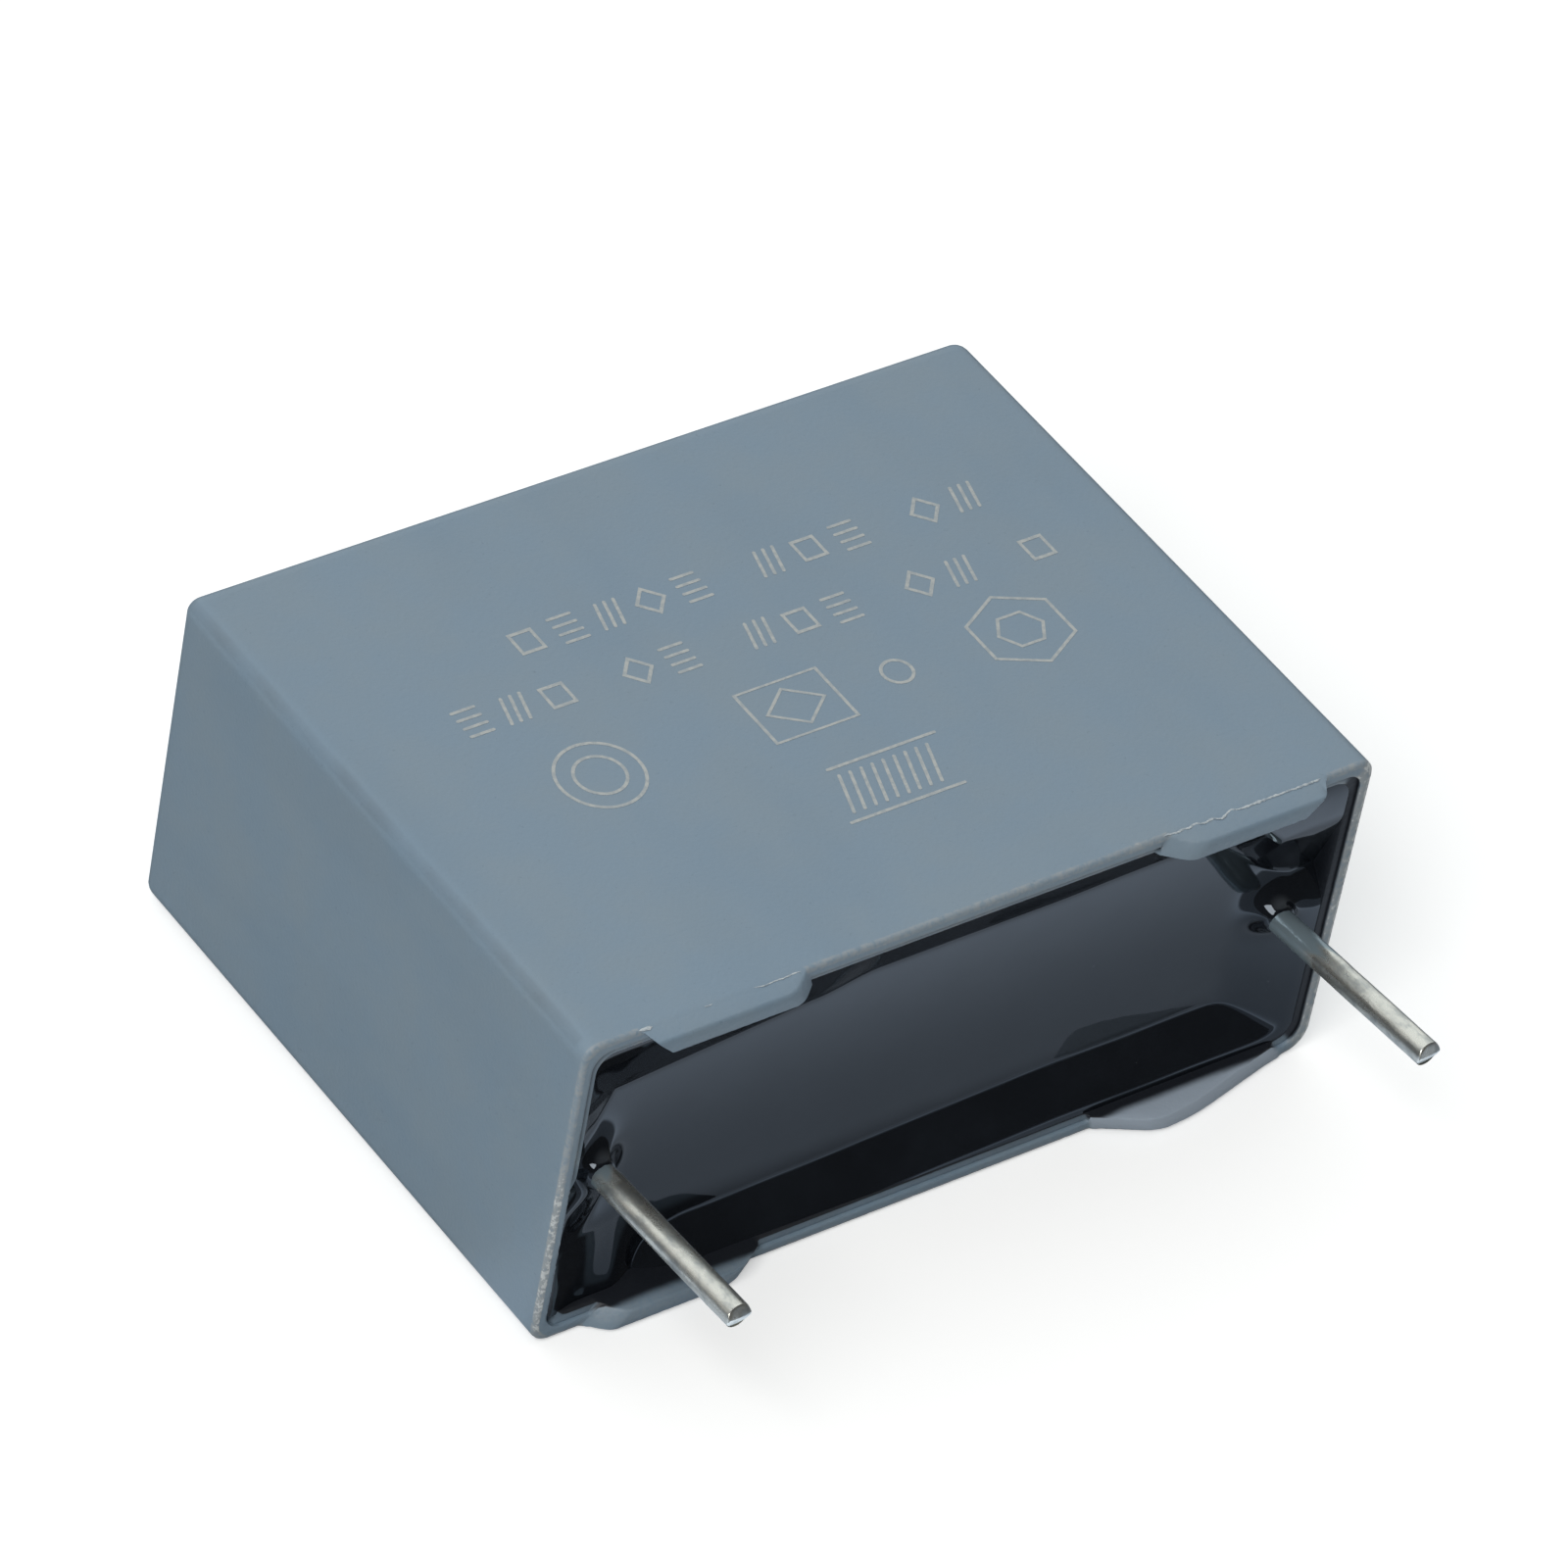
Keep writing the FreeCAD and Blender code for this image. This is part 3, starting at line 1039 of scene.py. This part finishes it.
    def _hollow(self, mesh: BMesh) -> None:
        """Adds the inner surface, round the room that the element and the welded wires take.

        Args:
            mesh: The resin's closed outer mesh.
        """
        left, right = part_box("end_contact_left")[0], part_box("end_contact_right")[1]
        half_x = max(abs(left.x), abs(right.x)) / MM + 2 * self.wire_r + self.room_gap
        low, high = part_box("film_winding")
        deep = high.y / MM - self.body.rim_y - self.element_depth + self.room_gap
        size = Vector((2 * half_x, deep, (high.z - low.z) / MM + self.room_gap))
        front = self.body.rim_y + self.element_depth
        middle = Vector((0, front + size.y / 2, self.body.mid_z))
        place = Matrix.Translation(middle) @ Matrix.Diagonal((*size, 1))
        made = bmesh.ops.create_cube(mesh, size=1, matrix=place)["verts"]
        rounded = bmesh.ops.bevel(mesh, geom=edges_of(made), offset=self.room_r,
                                  offset_type="OFFSET", affect="EDGES", segments=4, profile=0.5,
                                  material=-1)
        inner = {face for vert in rounded["verts"] for face in vert.link_faces}
        bmesh.ops.reverse_faces(mesh, faces=list(inner))


@dataclass
class WireLead:
    """One tinned wire: out of the resin, over its gentle bend, to its sheared end."""

    name: str
    node: str
    body: BodyFrame
    lean: float                  # degrees, towards +X
    seed: float
    cut_upper: float             # slope of the upper half of the cut end
    cut_lower: float
    film_end: float              # how far out of the rim the film of resin reaches
    radius: float = 0.4
    slack: float = 0.012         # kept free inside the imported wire, for the lumps
    lumps: float = 0.012         # of the radius
    dents: float = 0.008         # of the radius, finer than the lumps
    cut_edge: float = 0.1        # where the halves of the cut end meet, as a share of the radius
    bend_y: float = 0.45         # depth where the bend starts
    bend_r: float = 5.0
    root_depth: float = 1.98
    sides: int = 40
    ring_gap: float = 0.06
    tip_gap: float = 0.03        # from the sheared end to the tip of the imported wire
    end_rings: tuple[Pair, ...] = ((0.05, 1), (0.02, 0.985), (0, 0.93), (0, 0.7), (0, 0.4),
                                   (0, 0.12))    # distance from the end, share of the radius

    def __post_init__(self) -> None:
        """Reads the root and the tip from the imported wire."""
        low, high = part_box(self.node)
        self.root_x = low.x / MM + self.radius
        self.tip_y = low.y / MM

    def _centre(self, run: float) -> tuple[Vector, float]:
        """A place on the wire's middle line.

        Args:
            run: Length along the wire, from its root in the resin.

        Returns:
            The place and how far the wire leans there, in radians.
        """
        lean = math.radians(self.lean)
        root = Vector((self.root_x, self.body.rim_y + self.root_depth, self.body.mid_z))
        straight = self.root_depth - self.bend_y
        bend = self.bend_r * lean
        if run <= straight:
            return root + Vector((0, -run, 0)), 0.0
        turned = min((run - straight) / self.bend_r, lean)
        place = root + Vector((self.bend_r * (1 - math.cos(turned)),
                               -straight - self.bend_r * math.sin(turned), 0))
        left = max(run - straight - bend, 0.0)
        return place + Vector((math.sin(turned), -math.cos(turned), 0)) * left, turned

    def _ring_point(self, vert: BMVert, run: float, shrink: float, cut: bool) -> Vector:
        """A point of one ring round the wire, with its film of resin.

        Args:
            vert: A point of the ring.
            run: Length along the wire, from its root in the resin.
            shrink: The ring's radius as a share of the wire's.
            cut: Whether the ring lies on the sheared end.

        Returns:
            The point.
        """
        centre, turned = self._centre(run)
        across, up = vert[self.spoke].x, vert[self.spoke].z
        outward = Vector((across * math.cos(turned), across * math.sin(turned), up))
        point = centre + outward * self.radius
        lump = noise.noise(point * 1.7 + Vector((self.seed, 0, 0))) * self.lumps
        long = Vector((point.x * 6, point.y * 1.6, point.z * 6))
        lump += noise.noise(long + Vector((0, self.seed, 0))) * self.dents
        reach = self.radius * shrink * (1 + lump) - self.slack
        above = up * shrink - self.cut_edge
        back = (self.cut_upper * max(above, 0) + self.cut_lower * max(-above, 0)) if cut else 0.0
        point = centre + outward * reach
        point += Vector((-math.sin(turned), math.cos(turned), 0)) * back * self.radius
        edge = self.film_end + 0.5 * noise.noise(Vector((across * 1.5, self.seed, up * 1.5)))
        out = self.body.rim_y - point.y + 0.25 * noise.noise(point * 4)
        vert[self.film] = 1 - smooth_step(edge - 0.35, edge + 0.25, out)
        return point

    def build(self, material: Material) -> Object:
        """Makes the wire.

        Args:
            material: The wire's finish.

        Returns:
            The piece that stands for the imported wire.
        """
        mesh = bmesh.new()
        self.spoke = mesh.verts.layers.float_vector.new("spoke")
        self.film = mesh.verts.layers.float.new("film")
        bmesh.ops.create_circle(mesh, cap_ends=True, segments=self.sides, radius=1, matrix=UPRIGHT)
        for vert in mesh.verts:
            vert[self.spoke] = vert.co
        loop = list(mesh.edges)
        for vert in mesh.verts:
            vert.co = self._ring_point(vert, 0, 1, False)
        reach = self.body.rim_y + self.root_depth - self.tip_y
        length = reach / math.cos(math.radians(self.lean)) - self.tip_gap
        rings = int(length / self.ring_gap)
        for ring in range(1, rings):
            run = length * ring / rings - self.ring_gap
            loop = grown_loop(mesh, loop, lambda v: self._ring_point(v, run, 1, False))
        for back, shrink in self.end_rings:
            run = length - back
            loop = grown_loop(mesh, loop, lambda v: self._ring_point(v, run, shrink, True))
        bmesh.ops.edgeloop_fill(mesh, edges=loop)
        piece = finished_piece(self.name, mesh, material, sharp_degrees=35)
        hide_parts(self.node)
        return piece


class Sign(Enum):
    """The small signs of a row, with the letter for each."""

    BARS = "h"
    SLANTS = "d"
    SQUARE = "q"
    DIAMOND = "t"


@dataclass(frozen=True)
class Figure:
    """A closed line figure on the face: a ring, or a frame with a few sides."""

    centre: Pair
    radius: float
    sides: int
    squash: float = 1.0          # its height over its width
    turn: float = 0.0            # degrees


@dataclass(frozen=True)
class Row:
    """A row of small signs in groups, one letter of a group for each sign."""

    start: Pair                  # lower left corner
    groups: str
    slope: float


@dataclass
class PrintedMarks:
    """Generic print on the top face: rows of short strokes and a few plain figures."""

    body: BodyFrame
    stroke_w: float = 0.1
    stroke_h: float = 0.03
    tall: float = 1.15           # a sign's height
    wide: float = 0.72           # its width, as a share of its height
    pitch: float = 1.33          # of the signs
    gap: float = 0.9             # between groups, as a share of the pitch
    top: float = 0.004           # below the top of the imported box
    rows: tuple[Row, ...] = (
        Row((-5.9, 6.55), "qhdth dqh td", -0.015),
        Row((-9.0, 4.5), "hdq th dqh td q", -0.042),
    )
    figures: tuple[Figure, ...] = (
        Figure((-6.65, 1.85), 1.3, 56),
        Figure((-6.65, 1.85), 0.78, 40),
        Figure((-0.3, 1.85), 1.95, 4, 0.78, 45),
        Figure((-0.3, 1.85), 1.0, 4, 0.78),
        Figure((3.0, 1.8), 0.5, 32),
        Figure((7.1, 1.75), 1.6, 6, 0.92),
        Figure((7.1, 1.75), 0.8, 6, 0.92, 30),
    )
    slants: int = 9              # slanted bars in the field below the figures
    slant_pitch: float = 0.36
    slant_start: Pair = (-1.3, -2.3)
    slant_lean: float = 0.45
    slant_top: float = -0.95
    rules: tuple[tuple[Pair, Pair], ...] = (
        ((-1.6, -2.62), (2.1, -2.62)),
        ((-1.0, -0.63), (2.5, -0.63)),
    )

    def _stroke(self, start: Pair, end: Pair) -> None:
        """Adds one straight stroke.

        Args:
            start: One end on the face.
            end: The other end.
        """
        first, last = Vector((*start, 0)), Vector((*end, 0))
        along = last - first
        turn = Matrix.Rotation(math.atan2(along.y, along.x), 4, "Z")
        middle = (first + last) / 2
        middle.z = self.body.thickness - self.top - self.stroke_h / 2
        size = Matrix.Diagonal((along.length + self.stroke_w, self.stroke_w, self.stroke_h, 1))
        place = Matrix.Translation(middle) @ turn @ size
        made = bmesh.ops.create_cube(self.mesh, size=1, matrix=place)["verts"]
        upright = [edge for edge in edges_of(made)
                   if abs(edge.verts[0].co.z - edge.verts[1].co.z) > self.stroke_h / 2]
        bmesh.ops.bevel(self.mesh, geom=upright, offset=self.stroke_w * 0.45,
                        offset_type="OFFSET", affect="EDGES", segments=3, profile=0.5, material=-1)

    def _figure(self, figure: Figure) -> None:
        """Adds one closed line figure.

        Args:
            figure: Its form and place.
        """
        x, y = figure.centre
        height = self.body.thickness - self.top
        inner = 1 - self.stroke_w / figure.radius / math.cos(math.pi / figure.sides)
        base = Matrix.Translation((x, y, 0)) @ Matrix.Diagonal((1, figure.squash, 1, 1))
        base = base @ Matrix.Rotation(math.radians(figure.turn), 4, "Z")
        made = bmesh.ops.create_circle(self.mesh, segments=figure.sides, radius=figure.radius,
                                       matrix=base)["verts"]
        spoke = self.mesh.verts.layers.float_vector["spoke"]
        for vert in made:
            vert[spoke] = (vert.co.x - x, vert.co.y - y, 0)
            vert.co.z = height
        first = edges_of(made)
        loop = first
        base_z = height - self.stroke_h
        for share, z in ((inner, height), (inner, base_z), (1, base_z)):
            loop = grown_loop(self.mesh, loop, lambda v: Vector((
                x + v[spoke].x * share, y + v[spoke].y * share, z)))
        bmesh.ops.bridge_loops(self.mesh, edges=first + loop)

    def _sign(self, left: float, low: float, sign: Sign) -> None:
        """Adds one small sign of a row.

        Args:
            left: Its left edge on the face.
            low: Its lower edge.
            sign: Its form.
        """
        wide, tall = self.tall * self.wide, self.tall
        middle = (left + wide / 2, low + tall / 2)
        if sign is Sign.SQUARE:
            self._figure(Figure(middle, wide * 0.68, 4, 1.1, 45))
        elif sign is Sign.DIAMOND:
            self._figure(Figure(middle, wide * 0.62, 4, 1.15))
        elif sign is Sign.BARS:
            for bar in range(4):
                y = low + 0.08 + bar * (tall - 0.16) / 3
                self._stroke((left + 0.06, y), (left + wide - 0.06, y))
        else:
            for bar in range(3):
                x = left + bar * wide * 0.36
                self._stroke((x, low + 0.1), (x + 0.25, low + tall - 0.1))

    def _row(self, row: Row) -> None:
        """Adds one row of signs.

        Args:
            row: Its place and its signs.
        """
        x = row.start[0]
        for letter in row.groups:
            if letter == " ":
                x += self.pitch * self.gap
                continue
            self._sign(x, row.start[1] + row.slope * (x - row.start[0]), Sign(letter))
            x += self.pitch

    def build(self, material: Material) -> Object:
        """Makes the marks.

        Args:
            material: The ink.

        Returns:
            The piece.
        """
        self.mesh = bmesh.new()
        self.mesh.verts.layers.float_vector.new("spoke")
        for row in self.rows:
            self._row(row)
        for figure in self.figures:
            self._figure(figure)
        left, low = self.slant_start
        for bar in range(self.slants):
            x = left + bar * self.slant_pitch
            self._stroke((x, low), (x + self.slant_lean, self.slant_top))
        for start, end in self.rules:
            self._stroke(start, end)
        return finished_piece("printed_marks", self.mesh, material, sharp_degrees=30)


@dataclass(frozen=True)
class Thread:
    """One ragged thread of flash along the upper wall."""

    start: float
    end: float
    ragged: float                # how far it strays from the root of the foot
    weight: float                # how thick it is beside the plain thread


@dataclass
class MouldFlash:
    """Thin torn flash along the roots of the upper feet."""

    body: BodyFrame
    case: MouldedCase
    thin: float = 0.026
    pitch: float = 0.05
    root: float = 0.04           # behind the rim
    sunk: float = 0.006          # below the top of the case
    end_share: float = 0.3       # of the thickness, at each end
    end_grows: float = 0.25      # the same, from one ring to the next
    threads: tuple[Thread, ...] = (
        Thread(-11.2, -10.8, 0.1, 1.6),
        Thread(-9.15, -8.9, 0.05, 0.7),
        Thread(-7.6, -6.1, 0.06, 0.6),
        Thread(5.75, 7.0, 0.22, 1.0),
        Thread(6.9, 8.3, 0.16, 1.0),
        Thread(8.2, 11.0, 0.03, 1.0),
    )

    def _ring_point(self, vert: BMVert, thread: Thread, x: float, fade: float) -> Vector:
        """A point of one ring round a thread.

        Args:
            vert: A point of the ring.
            thread: The thread.
            x: Where the ring is along the wall.
            fade: Its thickness as a share of the thread's.

        Returns:
            The point.
        """
        rough = 0.7 + 1.2 * abs(noise.noise(Vector((x * 5, 1.0, 0))))
        thick = self.thin * thread.weight * fade * rough
        stray = thread.ragged * noise.noise(Vector((x * 2.3, 4.0, 0)))
        stray += 0.02 * noise.noise(Vector((x * 11, 0, 0)))
        around = vert[self.spoke]
        top = self.body.thickness - self.case.ink_room - self.sunk
        return Vector((x, self.body.rim_y + self.root + stray + around.y * thick * 1.6,
                       top + (around.z - 0.45) * thick * 0.55))

    def _ridge(self, mesh: BMesh, thread: Thread) -> None:
        """Adds one thread.

        Args:
            mesh: The mesh of all the flash.
            thread: The thread.
        """
        across = Matrix.Rotation(math.radians(90), 4, "Y")
        made = bmesh.ops.create_circle(mesh, cap_ends=True, segments=8, radius=1,
                                       matrix=across)["verts"]
        for vert in made:
            vert[self.spoke] = vert.co
        loop = edges_of(made)
        for vert in made:
            vert.co = self._ring_point(vert, thread, thread.start, self.end_share)
        length = thread.end - thread.start
        steps = int(length / self.pitch)
        for step in range(1, steps + 1):
            x = thread.start + length * step / steps
            fade = min(1, self.end_share + min(step, steps - step) * self.end_grows)
            loop = grown_loop(mesh, loop, lambda v: self._ring_point(v, thread, x, fade))
        bmesh.ops.edgeloop_fill(mesh, edges=loop)

    def build(self, material: Material) -> Object:
        """Makes the flash.

        Args:
            material: Its finish.

        Returns:
            The piece.
        """
        mesh = bmesh.new()
        self.spoke = mesh.verts.layers.float_vector.new("spoke")
        for thread in self.threads:
            self._ridge(mesh, thread)
        return finished_piece("mould_flash", mesh, material, sharp_degrees=80)


@dataclass
class Studio:
    """The bench, the soft light and the camera.

    Mirrors see a painted reflection in place of the bench, by Is Glossy Ray: a graded glow, bright
    some millimetres in front of the object, darker near it as a painted shadow, darker far away,
    with a painted lit strip beside it. The resin is a mirror, and that painted reflection makes its
    lit and dark zones.
    """

    rim_y: float                 # the open side of the object, in millimetres
    bench_r: float = 1.0
    bench_z: float = -0.00005
    bench_colour: Colour = display_colour(232, 232, 230)
    glow: float = 0.45           # lifts the bench to white for the camera
    mirrored_tint: Colour = (0.82, 0.94, 1.10, 1.0)
    mirrored_least: float = 0.12
    mirrored_near: float = 0.33  # from just in front of the object
    near_reach: float = 1.2
    mirrored_light: float = 0.87  # what rises with the distance
    shade_reach: float = 8.0
    shade_power: float = 2.0
    far_fall: Pair = (6.8, 8.6)  # where the light falls off again
    far_loss: float = 0.85
    mirrored_beside: float = 0.5
    beside_front: Pair = (0.0, -1.0)     # a lit strip beside the object: where it starts
    beside_back: Pair = (-4.5, -2.0)     # and where it ends
    bright_from: Triple = (0.2, 0.7, 0.68)
    sky_least: float = 0.05
    sky_bright: float = 0.80
    key_place: Triple = (-0.235, -0.11, 0.28)
    key_size: float = 0.2
    key_power: float = 0.77
    aim: Triple = (0, 0, 0.005)
    camera_place: Triple = (-139.25, -151.48, 190.36)    # millimetres
    camera_right: Triple = (0.81301, -0.56365, 0.14597)
    camera_up: Triple = (0.29165, 0.61123, 0.73576)
    lens: float = 236.1

    def _mirrored_floor(self, shader: Shader) -> Node:
        """The painted reflection that mirrors see: graded light, with a painted shadow near the
        object.

        Args:
            shader: The bench's shader.

        Returns:
            Its Emission node.
        """
        ahead = self.rim_y - shader.axis("Y")
        level = ahead.stepped(0.0, self.shade_reach).power(self.shade_power) * self.mirrored_light
        level = level + ahead.stepped(0.0, self.near_reach) * self.mirrored_near
        level = level * (1.0 - ahead.stepped(*self.far_fall) * self.far_loss)
        beside = ahead.stepped(*self.beside_front) * ahead.stepped(*self.beside_back)
        level = level + beside * self.mirrored_beside + self.mirrored_least
        return shader.node("ShaderNodeEmission", {},
                           {"Color": self.mirrored_tint, "Strength": level})

    def bench(self) -> None:
        """Makes the floor: pale, white to the camera where it is lit, with its shadow kept."""
        mesh = bmesh.new()
        bmesh.ops.create_circle(mesh, cap_ends=True, segments=128, radius=self.bench_r)
        data = bpy.data.meshes.new("bench")
        mesh.to_mesh(data)
        mesh.free()
        data.transform(Matrix.Translation((0, 0, self.bench_z)))
        floor = bpy.data.objects.new("bench", data)
        bpy.context.scene.collection.objects.link(floor)
        shader = material_shader("bench_paper")
        ray = shader.node("ShaderNodeLightPath").outputs
        seen = Value(shader, ray["Is Camera Ray"]) + Value(shader, ray["Is Transmission Ray"])
        paper = shader.node("ShaderNodeBsdfDiffuse", {}, {"Color": self.bench_colour})
        glow = shader.node("ShaderNodeEmission", {},
                           {"Color": (1, 1, 1, 1), "Strength": seen * self.glow})
        both = shader.node("ShaderNodeAddShader", {}, {0: paper.outputs[0], 1: glow.outputs[0]})
        # painted reflection: what mirrors see in place of the bench
        mirrored = self._mirrored_floor(shader)
        mixed = shader.node("ShaderNodeMixShader", {}, {
            0: ray["Is Glossy Ray"], 1: both.outputs[0], 2: mirrored.outputs[0]})
        shader.node("ShaderNodeOutputMaterial", {}, {"Surface": mixed.outputs[0]})
        data.materials.append(shader.owner)

    def sky(self) -> None:
        """Lights the scene from all round: bright behind the object, dim in front of it."""
        world = bpy.data.worlds.new("studio")
        bpy.context.scene.world = world
        shader = Shader(world)
        way = shader.node("ShaderNodeTexCoord").outputs["Generated"]
        bright = tuple(Vector(self.bright_from).normalized())
        along = shader.node("ShaderNodeVectorMath", {"operation": "DOT_PRODUCT"},
                            {0: way, 1: bright})
        behind = Value(shader, along.outputs["Value"])
        level = behind.stepped(0.0, 0.9) * self.sky_bright + self.sky_least
        tint = shader.mixed(behind.stepped(0.0, 1.0), (1.0, 1.0, 1.0, 1), (0.93, 0.98, 1.0, 1))
        back = shader.node("ShaderNodeBackground", {}, {"Color": tint, "Strength": level})
        shader.node("ShaderNodeOutputWorld", {}, {"Surface": back.outputs[0]})

    def _hung(self, name: str, data: ID, place: Vector, turn: Matrix) -> Object:
        """Hangs the lamp or the camera.

        Args:
            name: Its name.
            data: The lamp's or the camera's data.
            place: Where it hangs, in metres.
            turn: How it is turned.

        Returns:
            The lamp or the camera.
        """
        made = bpy.data.objects.new(name, data)
        made.matrix_world = Matrix.Translation(place) @ turn.to_4x4()
        bpy.context.scene.collection.objects.link(made)
        return made

    def lamp(self) -> None:
        """Adds the one soft lamp, which faces the object."""
        data = bpy.data.lights.new("key", "AREA")
        data.size = self.key_size
        data.energy = self.key_power
        place = Vector(self.key_place)
        way = Vector(self.aim) - place
        self._hung("key", data, place, way.to_track_quat("-Z", "Y").to_matrix())

    def camera(self) -> None:
        """Places the camera at the photograph's angle."""
        data = bpy.data.cameras.new("camera")
        data.lens = self.lens
        data.sensor_width = 36
        data.clip_start = 0.01
        data.clip_end = 10
        right, up = Vector(self.camera_right), Vector(self.camera_up)
        turn = Matrix((right, up, right.cross(up))).transposed()
        place = Vector(self.camera_place) * MM
        bpy.context.scene.camera = self._hung("camera", data, place, turn)

    def build(self) -> None:
        """Sets up the whole studio."""
        bpy.context.scene.view_settings.view_transform = "Standard"
        self.bench()
        self.sky()
        self.lamp()
        self.camera()


def dress_inner_nodes() -> None:
    """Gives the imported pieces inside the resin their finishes."""
    film, spray = WOUND_FILM.material(), SPRAYED_ZINC.material()
    finishes = {"film_winding": film, "end_contact_left": spray, "end_contact_right": spray}
    for name, material in finishes.items():
        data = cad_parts[name].data
        data.materials.clear()
        data.materials.append(material)
        log.info("%s: packed piece with its own finish", name)


def main() -> None:
    """Builds every piece, the studio and the camera."""
    logging.basicConfig(level=logging.INFO, format="%(message)s")
    body = BodyFrame()
    case = MouldedCase(body)
    case.build(MouldedPlastic().material())
    left = WireLead("wire_left", "lead_left", body, 2.8, 11.0, 0.55, 0.35, 0.1)
    right = WireLead("wire_right", "lead_right", body, 4.7, 27.0, 0.4, 0.4, 1.7)
    tin = TinnedWire().material()
    left.build(tin)
    right.build(tin)
    resin = PottingResin(body, case, (left.root_x, right.root_x), left.radius)
    resin.build(PottingEpoxy().material())
    PrintedMarks(body).build(PRINT_INK.material())
    MouldFlash(body, case).build(STRESSED_PLASTIC.material())
    dress_inner_nodes()
    Studio(body.rim_y).build()


if __name__ == "__main__":
    main()
